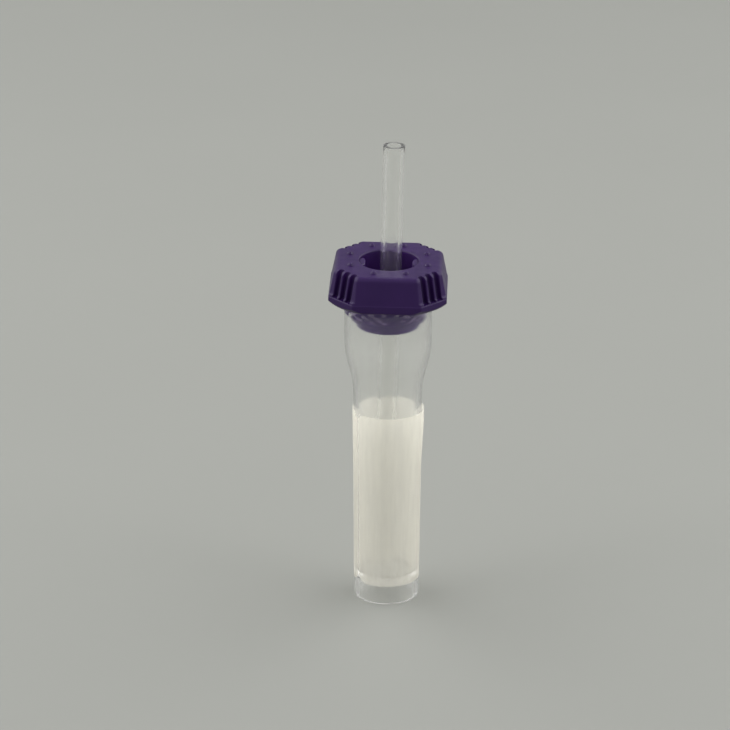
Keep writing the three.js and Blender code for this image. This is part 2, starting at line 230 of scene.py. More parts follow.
def pole_faces(rows, columns):
    """Triangles from the first and the last row to two more points, the first and the last pole."""
    around = np.arange(columns)
    after = np.roll(around, -1)
    first, last = rows * columns, rows * columns + 1
    top = (rows - 1) * columns
    low = np.stack([after, around, np.full(columns, first)], axis=1)
    high = np.stack([top + around, top + after, np.full(columns, last)], axis=1)
    return low.tolist() + high.tolist()


def ring_mesh(grid):
    """Points and faces of a grid that closes both ways."""
    rows, columns, _ = grid.shape
    return grid.reshape(-1, 3), grid_faces(rows, columns, ring=True)


def capped_mesh(grid):
    """Points and faces of a grid whose first and last rows close to a pole at their middle."""
    rows, columns, _ = grid.shape
    poles = np.stack([grid[0].mean(axis=0), grid[-1].mean(axis=0)])
    points = np.vstack([grid.reshape(-1, 3), poles])
    return points, grid_faces(rows, columns) + pole_faces(rows, columns)


def sheet_mesh(outside, inside):
    """Points and faces of a thin sheet: the outer grid, the inner one turned round, and a strip between."""
    rows, columns, _ = outside.shape
    index = np.arange(rows * columns).reshape(rows, columns)
    a, b, c, d = index[:-1, :-1], index[:-1, 1:], index[1:, 1:], index[1:, :-1]
    outer = np.stack([a, b, c, d], axis=-1).reshape(-1, 4)
    inner = np.stack([d, c, b, a], axis=-1).reshape(-1, 4) + rows * columns
    rim = np.concatenate([index[0, :-1], index[:-1, -1], index[-1, :0:-1], index[:0:-1, 0]])
    back, after = rim + rows * columns, np.roll(rim, -1)
    strip = np.stack([rim, back, after + rows * columns, after], axis=1)
    points = np.vstack([outside.reshape(-1, 3), inside.reshape(-1, 3)])
    return points, outer.tolist() + inner.tolist() + strip.tolist()


def joined(*meshes):
    """Several closed meshes as one: each one's faces count from where its own points start."""
    points, faces, first = [], [], 0
    for some_points, some_faces in meshes:
        points.append(some_points)
        faces += [[first + i for i in face] for face in some_faces]
        first += len(some_points)
    return np.vstack(points), faces


def placed(points, axis, origin):
    """Turns points so that their Z lies along axis, the short way, and moves their origin."""
    turn = np.array(Vector((0, 0, 1)).rotation_difference(axis).to_matrix())
    return points @ turn.T + np.array(origin)


def volume_of(mesh):
    """The mesh's volume in cubic millimetres: a sixth of the corners' triple product, summed."""
    mesh.calc_loop_triangles()
    corners = np.empty(len(mesh.loop_triangles) * 3, np.int32)
    mesh.loop_triangles.foreach_get("vertices", corners)
    places = np.empty(len(mesh.vertices) * 3)
    mesh.vertices.foreach_get("co", places)
    a, b, c = places.reshape(-1, 3)[corners].reshape(-1, 3, 3).transpose(1, 0, 2) / MM
    return float(np.einsum("ij,ij->", a, np.cross(b, c))) / 6, len(mesh.loop_triangles)


def make_piece(name, points, faces, material, node, slot):
    """Makes the object, in metres at the origin, gives it its finish and puts it in its node's place."""
    mesh = bpy.data.meshes.new(name)
    mesh.from_pydata((points * MM).tolist(), [], faces)
    mesh.shade_smooth()
    mesh.materials.append(material)
    piece = bpy.data.objects.new(name, mesh)
    bpy.context.scene.collection.objects.link(piece)
    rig.ride(piece, frame["nodes"][node]["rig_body"])
    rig.slot(piece, slot)
    volume, triangles = volume_of(mesh)
    print(f"{name}: {triangles} triangles, {volume:.1f} cubic mm")
    return piece


def mark(piece, name, values):
    """Gives every point of a piece a number that its material can read by name."""
    piece.data.attributes.new(name, "FLOAT", "POINT").data.foreach_set("value", values)


# %% [markdown]
# ## Colours and nodes
#
# A colour is written as it looks on a screen, in hexadecimal, and one function turns it into the linear
# numbers that the renderer adds up. One more function adds a node with its settings and links, so that
# a material reads as a short list.

# %% Colour and node helpers


def linear(code):
    """An sRGB hex colour as linear numbers: the standard curve, a straight foot and then a 2.4 power."""
    shares = [int(code[i:i + 2], 16) / 255 for i in (1, 3, 5)]
    return [c / 12.92 if c <= 0.04045 else ((c + 0.055) / 1.055) ** 2.4 for c in shares] + [1.0]


def add(tree, kind, inputs=None, **settings):
    """Adds a node. A value among inputs is set, and an output socket is linked."""
    node = tree.nodes.new(kind)
    for name, value in settings.items():
        setattr(node, name, value)
    for key, value in (inputs or {}).items():
        if isinstance(value, bpy.types.NodeSocket):
            tree.links.new(value, node.inputs[key])
        else:
            node.inputs[key].default_value = value
    return node


def new_material(name):
    """An empty node material, with its tree and its output node."""
    material = bpy.data.materials.new(name)
    material.use_nodes = True
    material.node_tree.nodes.clear()
    output = material.node_tree.nodes.new("ShaderNodeOutputMaterial")
    return material, material.node_tree, output


def noise(tree, size_mm, detail=2.0, stretch=(1, 1, 1)):
    """Noise whose features are about size_mm across, in the object's own millimetres."""
    place = add(tree, "ShaderNodeTexCoord").outputs["Object"]
    scale = [share / (size_mm * MM) for share in stretch]
    mapped = add(tree, "ShaderNodeMapping", {"Vector": place, "Scale": scale}).outputs["Vector"]
    return add(tree, "ShaderNodeTexNoise", {
        "Vector": mapped, "Scale": 1.0, "Detail": detail,
    }).outputs["Fac"]


def spread(tree, factor, low, high):
    """Maps noise, which keeps near its middle, to numbers from low to high."""
    return add(tree, "ShaderNodeMapRange", {
        "Value": factor, "From Min": 0.3, "From Max": 0.7, "To Min": low, "To Max": high,
    }).outputs["Result"]


def tinted(tree, factor, first, second):
    """A colour between two: the second is a hex colour, the first may be a socket."""
    start = linear(first) if isinstance(first, str) else first
    return add(tree, "ShaderNodeMix", {
        "Factor": factor, "A": start, "B": linear(second),
    }, data_type="RGBA").outputs["Result"]


# %% [markdown]
# ## Clear polypropylene
#
# The tube is injection moulded in clarified polypropylene. Its crystals are small enough to look through
# but they leave a faint milkiness, which is why the wall looks a little lighter than what is behind it.
# The mould is polished, so the surface is glossy, with a slow waviness where the plastic shrank. Glass
# with a small share of white diffuse says both things in one shader. The skirt is rubbed a little dull,
# inside by the mould's core and outside by benches and racks, so its share of white is larger.

# %% Material: clear polypropylene


def lets_lamps_through(tree, output, shader, tint):
    """Clear plastic: it bends what is seen through it, but the lamps' own light goes straight through."""
    path = add(tree, "ShaderNodeLightPath")
    clear = add(tree, "ShaderNodeBsdfTransparent", {"Color": linear(tint)})
    both = add(tree, "ShaderNodeMixShader", {
        0: path.outputs["Is Shadow Ray"], 1: shader.outputs["BSDF"], 2: clear.outputs["BSDF"],
    })
    tree.links.new(both.outputs["Shader"], output.inputs["Surface"])


def clear_polypropylene(name, clear):
    """clear is the share of light that isn't scattered at a face."""
    material, tree, output = new_material(name)
    ripple = noise(tree, 4.0, detail=1.0)              # shrink waves, about five walls wide
    gloss = spread(tree, noise(tree, 1.2), 0.12, 0.2)  # handling marks about a millimetre wide
    bump = add(tree, "ShaderNodeBump", {"Height": ripple, "Strength": 0.03, "Distance": 0.02 * MM})
    shader = add(tree, "ShaderNodeBsdfPrincipled", {
        "Base Color": linear("#fefefd"),
        "Roughness": gloss,
        "IOR": 1.49,
        "Transmission Weight": clear,
        "Normal": bump.outputs["Normal"],
    })
    lets_lamps_through(tree, output, shader, "#f8f8f6")
    return material


polypropylene = clear_polypropylene("clear_polypropylene_moulded", 0.99)
rubbed_polypropylene = clear_polypropylene("clear_polypropylene_rubbed", 0.92)

# %% [markdown]
# ## The tube
#
# The tube is a turned form: one profile carried round the axis. It starts under the closed bottom at the
# mark that the mould's gate leaves, goes down the inside of the skirt, round the foot, up the tapered
# body, through the S of the neck to the mouth, over the rim, and back down the bore to the floor. The
# bore's line is the outside line set in by the wall, measured square to the surface, so the wall stays
# even through the neck.

# %% Piece: the moulded tube

neck_start = 33.6
neck_end = neck_start + 9.0
neck_steps = 40
neck_pull = 0.42                  # how far the curve keeps its first and last direction, as a share


def neck_lines():
    """The neck's outer line is a cubic curve that leaves along the body's draft and arrives upright.
    The inner line is the same, moved by the wall along the curve's normal."""
    reach = neck_pull * (neck_end - neck_start)
    start = np.array([body_radius(neck_start), neck_start])
    end = np.array([mouth_radius, neck_end])
    leaving = start + reach * np.array([math.tan(draft), 1.0])
    arriving = end - np.array([0.0, reach])
    t = np.linspace(0, 1, neck_steps + 1)[:, None]
    s = 1 - t
    outer = s ** 3 * start + 3 * s ** 2 * t * leaving + 3 * s * t ** 2 * arriving + t ** 3 * end
    slope = s ** 2 * (leaving - start) + 2 * s * t * (arriving - leaving) + t ** 2 * (end - arriving)
    slope /= np.linalg.norm(slope, axis=1, keepdims=True)
    inner = outer + wall * np.stack([-slope[:, 1], slope[:, 0]], axis=1)
    return outer, inner


def tube_profile():
    """The closed line from the gate mark, round the outside and back to the middle of the floor."""
    outer, inner = neck_lines()
    inside_skirt = foot_radius - wall
    rim, foot, corner, under = 0.25, 0.2, 0.7, 0.3
    bore_low = body_radius(floor_top) - wall
    gate_radius, gate_height = 0.7, 0.2
    return np.vstack([
        [[0.25, skirt_height - gate_height]],
        arc(gate_radius - 0.1, skirt_height - gate_height + 0.1, 0.1, -90, 0, 4),
        [[gate_radius + 0.05, skirt_height]],
        straight((gate_radius + 0.05, skirt_height), (inside_skirt - under, skirt_height), 6),
        arc(inside_skirt - under, skirt_height - under, under, 90, 0),
        straight((inside_skirt, skirt_height - under), (inside_skirt, foot), 6),
        arc(inside_skirt + foot, foot, foot, 180, 270),
        arc(foot_radius - foot, foot, foot, -90, 0),
        straight((foot_radius, foot), outer[0], 40),
        outer,
        straight(outer[-1], (mouth_radius, mouth_top - rim), 8),
        arc(mouth_radius - rim, mouth_top - rim, rim, 0, 90),
        arc(bore_radius + rim, mouth_top - rim, rim, 90, 180),
        straight((bore_radius, mouth_top - rim), inner[-1], 8),
        inner[::-1],
        straight(inner[0], (bore_low, floor_top + corner), 40),
        arc(bore_low - corner, floor_top + corner, corner, 0, -90, 10),
        straight((bore_low - corner, floor_top), (0.25, floor_top), 6),
        [[0.25, floor_top]],
    ])


tube = make_piece(
    "moulded_tube", *capped_mesh(turned(tube_profile())), polypropylene, "tube", "clear_polypropylene",
)
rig.replaces(tube, "tube")

# %% The rubbed skirt
# Its faces take the duller finish, up to a line that is hidden behind the label's lower edge.

tuck = 0.3
tube.data.materials.append(rubbed_polypropylene)
middles = np.empty(3 * len(tube.data.polygons))
tube.data.polygons.foreach_get("center", middles)
rubbed = middles[2::3] / MM < label_low[2] + tuck
tube.data.polygons.foreach_set("material_index", rubbed.astype(np.int32))
print("rubbed faces:", int(rubbed.sum()), "of", len(rubbed))

# %% [markdown]
# ## Translucent film
#
# The label is a soft film, cream and half see-through: the capillary shows through it as a soft grey
# line. Its haze comes from a filler in the film, which scatters light both back and onwards. So each of
# its two faces is partly open, and what isn't open is a mix of diffuse and translucent.

# %% Material: label film


def label_film():
    material, tree, output = new_material("label_film_coated")
    cloudy = noise(tree, 3.0, detail=3.0)      # clouds of filler, a few millimetres wide
    colour = tinted(tree, spread(tree, cloudy, 0, 1), "#fbf8ee", "#f9f6ed")
    grain = noise(tree, 0.35, detail=3.0)      # really a tenth of that: drawn as coarse as it shows
    bump = add(tree, "ShaderNodeBump", {"Height": grain, "Strength": 0.15, "Distance": 0.02 * MM})
    film = add(tree, "ShaderNodeBsdfPrincipled", {
        "Base Color": colour, "Roughness": 0.42, "IOR": 1.5, "Specular IOR Level": 0.3,
        "Normal": bump.outputs["Normal"],
    })
    onward = add(tree, "ShaderNodeBsdfTranslucent", {"Color": colour})
    scatter = add(tree, "ShaderNodeMixShader", {
        0: 0.7, 1: film.outputs["BSDF"], 2: onward.outputs["BSDF"],
    })
    clear = add(tree, "ShaderNodeBsdfTransparent")
    # Streaks a millimetre wide and ten times as long, the way the film was drawn.
    share = spread(tree, noise(tree, 1.1, stretch=(1, 1, 0.1)), 0.35, 0.41)
    surface = add(tree, "ShaderNodeMixShader", {
        0: share, 1: clear.outputs["BSDF"], 2: scatter.outputs["Shader"],
    })
    tree.links.new(surface.outputs["Shader"], output.inputs["Surface"])
    return material


film = label_film()

# %% [markdown]
# ## The label
#
# The label has rounded corners and is wrapped round the body so that its ends almost meet. The body is a
# slight cone, so the label was cut as a slight fan and the gap at the seam is even. Its upper edge was
# stuck on below the neck and has come away on one side. The sheet is a function of how far round and how
# far up a point is, once for its outer face and once for its inner one.

# %% Piece: the wrap label

film_thickness, adhesive = 0.05, 0.02
corner_radius, seam_gap, seam_angle = 1.6, 0.2, math.radians(213)
lift_most, lift_least, lift_angle, lift_height = 0.3, 0.06, math.radians(-14), 11.0
label_bottom, label_top = label_low[2], label_high[2]
label_columns, label_rows_between, label_corner_rows = 241, 61, 12


def film_radius(height):
    """The radius of the film's inner face where it is stuck down: the body and the adhesive."""
    return body_radius(height) + adhesive


def lifted(angle, height):
    """How far the film stands off: nothing low down, and at the top edge from the least to the most,
    by the square of how much the point faces the side that lifted."""
    rise = smooth(height, label_top - lift_height, label_top - 0.1 * lift_height)
    facing = 0.5 + 0.5 * np.cos(angle - lift_angle)
    return rise * (lift_least + (lift_most - lift_least) * facing ** 2)


def label_rows():
    """Heights of the rows, close together at the rounded corners, and each row's inset there."""
    low = arc(0, 0, corner_radius, -90, 0, label_corner_rows)
    high = arc(0, 0, corner_radius, 0, 90, label_corner_rows)
    start, end = label_bottom + corner_radius, label_top - corner_radius
    middle = np.linspace(start, end, label_rows_between)[1:-1]
    heights = np.concatenate([start + low[:, 1], middle, end + high[:, 1]])
    insets = np.concatenate([corner_radius - low[:, 0], 0 * middle, corner_radius - high[:, 0]])
    return heights[:, None], insets[:, None]


def label_face(side):
    """One face of the film, 0 the inner and 1 the outer."""
    height, inset = label_rows()
    half_width = np.pi * film_radius(height) - seam_gap / 2
    across = np.linspace(-1, 1, label_columns)[None, :]
    angle = seam_angle + np.pi + across * (half_width - inset) / film_radius(height)
    radius = film_radius(height) + lifted(angle, height) + side * film_thickness
    return np.stack([radius * np.cos(angle), radius * np.sin(angle), height + 0 * angle], axis=-1)


label = make_piece("wrap_label", *sheet_mesh(label_face(1), label_face(0)), film, "label", "label_film")
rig.replaces(label, "label")

# %% [markdown]
# ## Purple polyethylene
#
# The cap is moulded in polyethylene with a purple pigment all through it. The plastic is waxy: satin,
# not glossy, with a soft broad sheen. Its mould was spark eroded, which leaves a grain finer than a
# tenth of a millimetre. Below the head the plug is painted a lighter, fuller purple: painted light, for
# the light that shines into its thin wall. On the seal, where it doesn't touch the bore closely, paler
# patches of about half a millimetre, flattened by the turning, are painted on: a painted reflection of
# the silvery light that the thin air gaps give back.

# %% Material: purple polyethylene


def purple_polyethylene():
    material, tree, output = new_material("purple_polyethylene_moulded")
    solid = tinted(tree, spread(tree, noise(tree, 4.0, detail=2.0), 0, 1), "#270f43", "#2b1148")
    # Painted light: below the head the purple is painted lighter and fuller, standing in for light that reaches the
    # plug.
    thin = add(tree, "ShaderNodeAttribute", attribute_name="plug_painted_light").outputs["Fac"]
    plug = tinted(tree, thin, solid, "#370f66")
    # Painted reflection: on the dry parts of the seal a paler lavender is painted in patches, for the silvery light
    # that the air gaps give back.
    dry = add(tree, "ShaderNodeAttribute", attribute_name="dry_seal").outputs["Fac"]
    gap_gleam = spread(tree, noise(tree, 0.6, detail=3.0, stretch=(1, 1, 3)), 0.05, 0.65)
    painted_gleam = add(tree, "ShaderNodeMath", {0: dry, 1: gap_gleam}, operation="MULTIPLY").outputs["Value"]
    colour = tinted(tree, painted_gleam, plug, "#9a7fb4")
    gloss = spread(tree, noise(tree, 1.5, detail=3.0), 0.38, 0.5)
    grain = noise(tree, 0.12, detail=3.0)      # the eroded mould's grain is half that: drawn to show
    bump = add(tree, "ShaderNodeBump", {"Height": grain, "Strength": 0.25, "Distance": 0.02 * MM})
    shader = add(tree, "ShaderNodeBsdfPrincipled", {
        "Base Color": colour, "Roughness": gloss, "IOR": 1.51, "Specular IOR Level": 0.24,
        "Normal": bump.outputs["Normal"],
    })
    tree.links.new(shader.outputs["BSDF"], output.inputs["Surface"])
    return material


polyethylene = purple_polyethylene()

# %% [markdown]
# ## The cap
#
# The grip head is a square with its corners cut off. It tapers upwards from a plain band, and each cut
# corner has three grooves for the fingers. Below it is the plug that seals the mouth, and down the
# middle a well with a collar that holds the capillary. One closed line passes through all of these: up
# the plug, out under the head, up its side, over the top, down the well, over the collar and down the
# hole. So the cap is that line carried round the axis, with the head's outline in place of a circle.

# %% Cap sizes

head_height, band_height = 5.5, 1.3
flats_top, flats_bottom = 16.1, 17.9
corner_top, corner_bottom = 5.06, 5.76
parting_step, top_round, edge_round = 0.05, 0.65, 0.5
ledge_height, ledge_reach = 0.5, 0.2
bevel_radius, least_bevel = 9.65, 0.12
plug_depth, seal_height = 4.9, 2.1
seal_bite = 0.02                  # the soft seal swells against the bore by this much
seal_end = seal_height + 0.7      # and, squeezed, it touches the bore down to here
dry_depth = 0.05                  # where it doesn't touch, it stands off by this less the bite
seal_radius = bore_radius + seal_bite
well_radius = 4.5
tip_radius = 4.85
hole_radius = 1.92
rim_clearance = 0.1

grooves, groove_depth, rib_width, land_width = 3, 0.9, 0.46, 0.65
groove_width = (corner_top - 2 * land_width - (grooves - 1) * rib_width) / grooves

head_underside = mouth_top + rim_clearance + mouth_radius * math.sin(cap_lean)
seal_middle = seal_height / 2
cap_pivot = np.array([0, 0, head_underside - seal_middle])
cap_origin = cap_pivot + seal_middle * np.array(cap_axis)
print("groove width", round(groove_width, 3), "cap origin", cap_origin.round(3))

# %% [markdown]
# The head's outline is made as a quarter and turned three times. Along a corner face the columns follow
# the section of the grooves: a rounded lip, a wall with a little draft, and a half-round floor. The
# column keeps its place across the face at every height, and only its depth grows from nothing at the
# band to the full depth above it.

# %% The outline of the head


def groove_section():
    """Across and depth of one groove's points, at full depth: rounded lip, wall, half-round floor, wall,
    lip. The lip is a quarter circle, so that two of them make a rib with a round crest."""
    half, lip, slant = groove_width / 2, 0.18, 0.03
    floor_radius = half - slant
    deep = groove_depth - floor_radius
    round_lip = arc(-half - lip, lip, lip, -90, 0, 4)
    wall_side = [[-half + 0.4 * slant, lip + 0.5 * (deep - lip)]]
    floor = arc(0, 0, floor_radius, 180, 360, 12)
    left = np.vstack([round_lip, wall_side])
    section = np.vstack([left, np.stack([floor[:, 0], deep - floor[:, 1]], axis=1), left[::-1] * [-1, 1]])
    return section[:, 0], section[:, 1]


def corner_section():
    """Across and depth of every column along one corner face's grooved part."""
    across, depth = groove_section()
    pitch = groove_width + rib_width
    middles = (np.arange(grooves) - (grooves - 1) / 2) * pitch
    every = (middles[:, None] + across[None, :]).ravel()
    return every, np.tile(depth, grooves)


section_across, section_depth = corner_section()
flat_steps, edge_steps, land_steps = 7, 5, 3
TURN = math.tan(math.radians(22.5))


def head_outline(flats, corner, inset, cut, ease, stand=0.0):
    """Points round the head at each row. flats and corner are the sizes there, inset is how far the
    outline is drawn in, cut how much of the grooves' depth is reached, ease a small extra inset, and
    stand how far the corner face stands out, which the grooves are deeper by.
    The grooves and the inset meet by the eighth root of the sum of their eighth powers."""
    half = flats / 2 - inset - ease
    face = corner - 2 * (inset + ease) * TURN
    flat = half - face * math.sqrt(0.5)
    radius = np.maximum(edge_round - inset / 2, 0.1)
    back = radius * TURN
    share = np.linspace(0, 1, flat_steps, endpoint=False)[None, :]
    angle = np.radians(np.linspace(0, 45, edge_steps + 1))[None, :]

    first_flat = np.stack([half + 0 * share, share * (flat - back)], axis=-1)
    first_edge = np.stack([
        half - radius + radius * np.cos(angle), flat - back + radius * np.sin(angle),
    ], axis=-1)

    reach = face / 2 - back
    lead = np.linspace(0, 1, land_steps + 2)[1:-1][None, :]
    outermost = section_across[-1]
    land = outermost + (reach - outermost) * (1 - lead)
    across = np.concatenate([-land, section_across[None, :] + 0 * reach, land[:, ::-1]], axis=1)
    no_cut = 0 * land
    full = section_depth[None, :] + stand * np.clip(section_depth[None, :] / 0.18, 0, 1)
    depth = np.concatenate([no_cut, cut * full, no_cut], axis=1)
    drawn = (np.maximum(depth, 0) ** 8 + inset ** 8) ** 0.125
    from_axis = (flats / 2) * math.sqrt(2) - corner / 2 - drawn - ease
    face_points = (from_axis[..., None] * [math.sqrt(0.5), math.sqrt(0.5)]
                   + across[..., None] * [-math.sqrt(0.5), math.sqrt(0.5)])

    second_edge = first_edge[:, ::-1, ::-1]
    second_flat = np.stack([(1 - share) * (flat - back), half + 0 * share], axis=-1)[:, 1:]
    quarter = np.concatenate([first_flat, first_edge, face_points, second_edge, second_flat], axis=1)
    turns = []
    for side in range(4):
        c, s = math.cos(side * math.pi / 2), math.sin(side * math.pi / 2)
        turns.append(quarter @ np.array([[c, s], [-s, c]]))
    return np.concatenate(turns, axis=1)


band_corner = corner_bottom - 2 * ledge_reach
plain = head_outline(*(np.array([[x]]) for x in (flats_bottom, band_corner, 0.0, 0.0, 0.0)))[0]
plain_radius = np.linalg.norm(plain, axis=1)
plain_angle = np.unwrap(np.arctan2(plain[:, 1], plain[:, 0]))
print("columns round the cap:", len(plain), "least step", round(float(np.diff(plain_angle).min() * 9), 4), "mm")

# %% [markdown]
# The bevel under the corners was turned, as on a nut, so it is part of a cone. Where the cone leaves the
# head's outline, its edge rises and falls. The rows follow that edge, so that it stays crisp.

# %% The cap's rows


def circles(profile):
    """Rows of circles, at the columns' angles, one for each (radius, height) of a profile."""
    profile = np.array(profile, float)
    radius, height = profile[:, :1], profile[:, 1:]
    way = np.cos(plain_angle), np.sin(plain_angle)
    return np.stack([radius * way[0], radius * way[1], height + 0 * plain_angle], axis=-1)


def bevel_rows():
    """The underside, the bevel and the band: the bevel's height is how far the outline stands out past
    the cone's lowest radius, and never less than the rounding of a moulded edge."""
    bevel = np.maximum(plain_radius - bevel_radius, least_bevel)
    way = plain / plain_radius[:, None]
    inner = seal_radius - 0.25
    rows = []
    for share in (0.15, 0.5, 0.85):
        radius = inner + share * (plain_radius - bevel - inner)
        rows.append(np.column_stack([way * radius[:, None], 0 * radius]))
    for share in (0.0, 0.06, 0.5, 0.94):
        radius = plain_radius - bevel * (1 - share)
        rows.append(np.column_stack([way * radius[:, None], bevel * share]))
    for share in (0.0, 0.08, 0.4, 0.7, 1.0):
        height = bevel + share * (band_height - 0.06 - bevel)
        rows.append(np.column_stack([plain, height]))
    return np.stack(rows)


def side_rows():
    """The parting line, the start of the grooves, the foot that stands out a little, the tapered side and
    the rounded top edge. Each row is a height, an inset, how much the foot stands out and the cut."""
    ledge = band_height + ledge_height
    rows = [(band_height + z, inset * parting_step, 1.0, 0.0)
            for z, inset in ((-0.05, 0.05), (-0.02, 0.35), (0.0, 0.65), (0.03, 0.95), (0.05, 1.0))]
    toe = 0.2
    for angle in np.radians(np.linspace(0, 90, 9)[1:]):
        rows.append((band_height + 0.05 + toe * (1 - math.cos(angle)), parting_step, 1.0, math.sin(angle)))
    for share in np.linspace(0, 1, 9):
        rows.append((ledge - 0.22 + 0.22 * share, parting_step, 1.0 - float(smooth(share, 0, 1)), 1.0))
    side, top = ledge, head_height - top_round
    for share in np.linspace(0, 1, 10)[1:]:
        rows.append((side + share * (top - side), parting_step * (1 - share), 0.0, 1.0))
    for angle in np.radians(np.linspace(0, 90, 15)[1:]):
        rows.append((top + top_round * math.sin(angle), top_round * (1 - math.cos(angle)), 0.0, 1.0))
    z, inset, reach, cut = np.array(rows).T[:, :, None]
    taper = np.clip((z - band_height) / (head_height - band_height), 0, 1)
    lip = 0.1
    over = np.clip((z - (head_height - lip)) / lip, 0, 1)
    ease = lip * (1 - np.sqrt(1 - over ** 2))
    flats = flats_bottom + taper * (flats_top - flats_bottom)
    corner = corner_bottom + taper * (corner_top - corner_bottom) - 2 * ledge_reach * reach
    outline = head_outline(flats, corner, inset, cut, ease, ledge_reach * reach)
    return np.concatenate([outline, (z + 0 * outline[..., 0])[..., None]], axis=-1)


def top_rows(edge, inner_radius):
    """The flat top face, from its grooved edge to the well: an even share of the way between the two."""
    goal = circles([(inner_radius, head_height)])[0]
    share = np.linspace(0, 1, 7)[1:-1][:, None, None]
    return edge + share * (goal - edge)


def with_dry_patches(rows):
    """Where the sum of a few slow waves round and along the seal is high, the surface draws back by
    dry_depth, so that it leaves the bore there."""
    radius = np.linalg.norm(rows[..., :2], axis=-1)
    angle, height = np.arctan2(rows[..., 1], rows[..., 0]), rows[..., 2]
    chance = np.random.default_rng(7)
    waves = 0 * angle
    for turns, rises in zip(chance.integers(3, 23, 12), chance.uniform(-9, 9, 12)):
        waves += np.cos(turns * angle + rises * height + chance.uniform(0, 2 * math.pi)) / 12 ** 0.5
    seal = smooth(radius, seal_radius - 0.02, seal_radius - 0.005) * smooth(height, -seal_end - 0.1, -seal_end)
    drawn = 1 - dry_depth * seal * smooth(waves + 0.5 * smooth(height, -1.2, -0.3), 0.35, 0.5) / radius
    return rows * np.stack([drawn, drawn, 1 + 0 * drawn], axis=-1)


def cap_grid():
    """All rows of the cap: the plug from its tip up, the head, and the well down to the hole."""
    bead, tip_round, lip_round, floor_round = 0.4, 0.35, 0.28, 0.4
    well_floor = 1.5 - plug_depth
    floor_radius = tip_radius - 1.0
    collar_radius, collar_top = hole_radius + 0.9, well_floor + 2.2
    lead = 0.3
    plug = np.vstack([
        [[hole_radius + lead + 0.12, -plug_depth], [tip_radius - 1.3, -plug_depth]],
        arc(tip_radius - tip_round, -plug_depth + tip_round, tip_round, -90, -20),
        straight((tip_radius - 0.03, -plug_depth + 0.33),
                 (seal_radius - 1.5 * bead, -seal_end - 1.5 * bead), 5),
        arc(seal_radius - bead - 0.1, -seal_end - 0.6, 0.25, -60, -20, 3),
        arc(seal_radius - bead, -seal_end, bead, -45, 0),
        straight((seal_radius, -seal_end), (seal_radius, -0.25), 28),
        arc(seal_radius - 0.2, -0.25, 0.2, 0, 80, 4),
        [[seal_radius - 0.25, 0.0]],
    ])
    well = np.vstack([
        arc(well_radius + lip_round, head_height - lip_round, lip_round, 90, 180),
        straight((well_radius, head_height - lip_round), (well_radius, -seal_height + 0.7), 8),
        [[well_radius, -seal_height + 0.7], [well_radius - 0.02, -seal_height + 0.5]],
        straight((well_radius - 0.02, -seal_height + 0.5), (floor_radius, well_floor + floor_round), 5),
        arc(floor_radius - floor_round, well_floor + floor_round, floor_round, 0, -90),
        arc(collar_radius + 0.15, well_floor + 0.15, 0.15, 270, 180, 4),
        arc(collar_radius - 0.3, collar_top - 0.3, 0.3, 0, 90),
        arc(hole_radius + 0.12, collar_top - 0.12, 0.12, 90, 180, 4),
        straight((hole_radius, collar_top - 0.12), (hole_radius, -plug_depth + lead), 6),
        [[hole_radius, -plug_depth + lead], [hole_radius + lead - 0.02, -plug_depth + 0.03]],
    ])
    sides = side_rows()
    return np.concatenate([
        with_dry_patches(circles(plug)), bevel_rows(), sides,
        top_rows(sides[-1], well_radius + lip_round), circles(well),
    ])


cap_body = ring_mesh(cap_grid())

# %% [markdown]
# Three small forms are added to the cap's mesh as closed shapes of their own, sunk into it a little: two
# catches inside the mouth of the well, and eight pimples on the top face, which keep a glove from
# slipping.

# %% Catches and pimples

lug_width, lug_reach, lug_height, lug_depth = 3.2, 0.95, 1.0, 0.25
pimple_count, pimple_radius, pimple_height, pimple_twist = 8, 0.5, 0.4, math.radians(3)
pimple_ring = 6.35


def pimple(angle):
    """A dome: its height is the 0.8 power of one less the squared share of its radius."""
    share = np.cos(np.linspace(0, math.pi / 2, 11))[:-1]
    profile = np.stack([pimple_radius * share, pimple_height * (1 - share ** 2) ** 0.8], axis=1)
    foot = [[pimple_radius, -0.05]]
    grid = turned(np.vstack([foot, profile]), 24)
    grid[..., 2] += head_height - 0.005
    points, faces = capped_mesh(grid)
    return points + [pimple_ring * math.cos(angle), pimple_ring * math.sin(angle), 0], faces


def catch(angle):
    """A section in radius and height, carried across and drawn in at both ends by the quarter of an
    ellipse, so that it grows out of the wall."""
    top = head_height - lug_depth
    root, nose = well_radius + 0.3, well_radius - lug_reach
    section = np.vstack([
        [[root, top - lug_height - 0.1], [root, top]],
        arc(nose + 0.3, top - 0.3, 0.3, 90, 180, 6),
        arc(nose + 0.15, top - 0.55 * lug_height, 0.15, 180, 230, 3),
        [[well_radius, top - lug_height]],
    ])
    middle = np.array([root, top - 0.5 * lug_height])
    around = np.linspace(-90, 90, 25)
    across = 0.5 * lug_width * np.sin(np.radians(around))
    full = np.abs(np.cos(np.radians(around))) ** 0.35
    full[[0, -1]] = 0.02
    rows = middle + full[:, None, None] * (section - middle)
    grid = np.stack([rows[..., 0], np.broadcast_to(across[:, None], rows.shape[:2]), rows[..., 1]], axis=-1)
    points, faces = capped_mesh(grid)
    c, s = math.cos(angle), math.sin(angle)
    return points @ np.array([[c, s, 0], [-s, c, 0], [0, 0, 1]]), faces


pimple_angles = (np.arange(pimple_count) + 0.5) * 2 * math.pi / pimple_count + pimple_twist
details = [pimple(angle) for angle in pimple_angles] + [catch(0.0), catch(math.pi)]
cap_points, cap_faces = joined(cap_body, *details)
cap = make_piece(
    "grip_cap", placed(cap_points, cap_axis, cap_origin), cap_faces, polyethylene, "cap",
    "purple_polyethylene",
)
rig.replaces(cap, "cap")
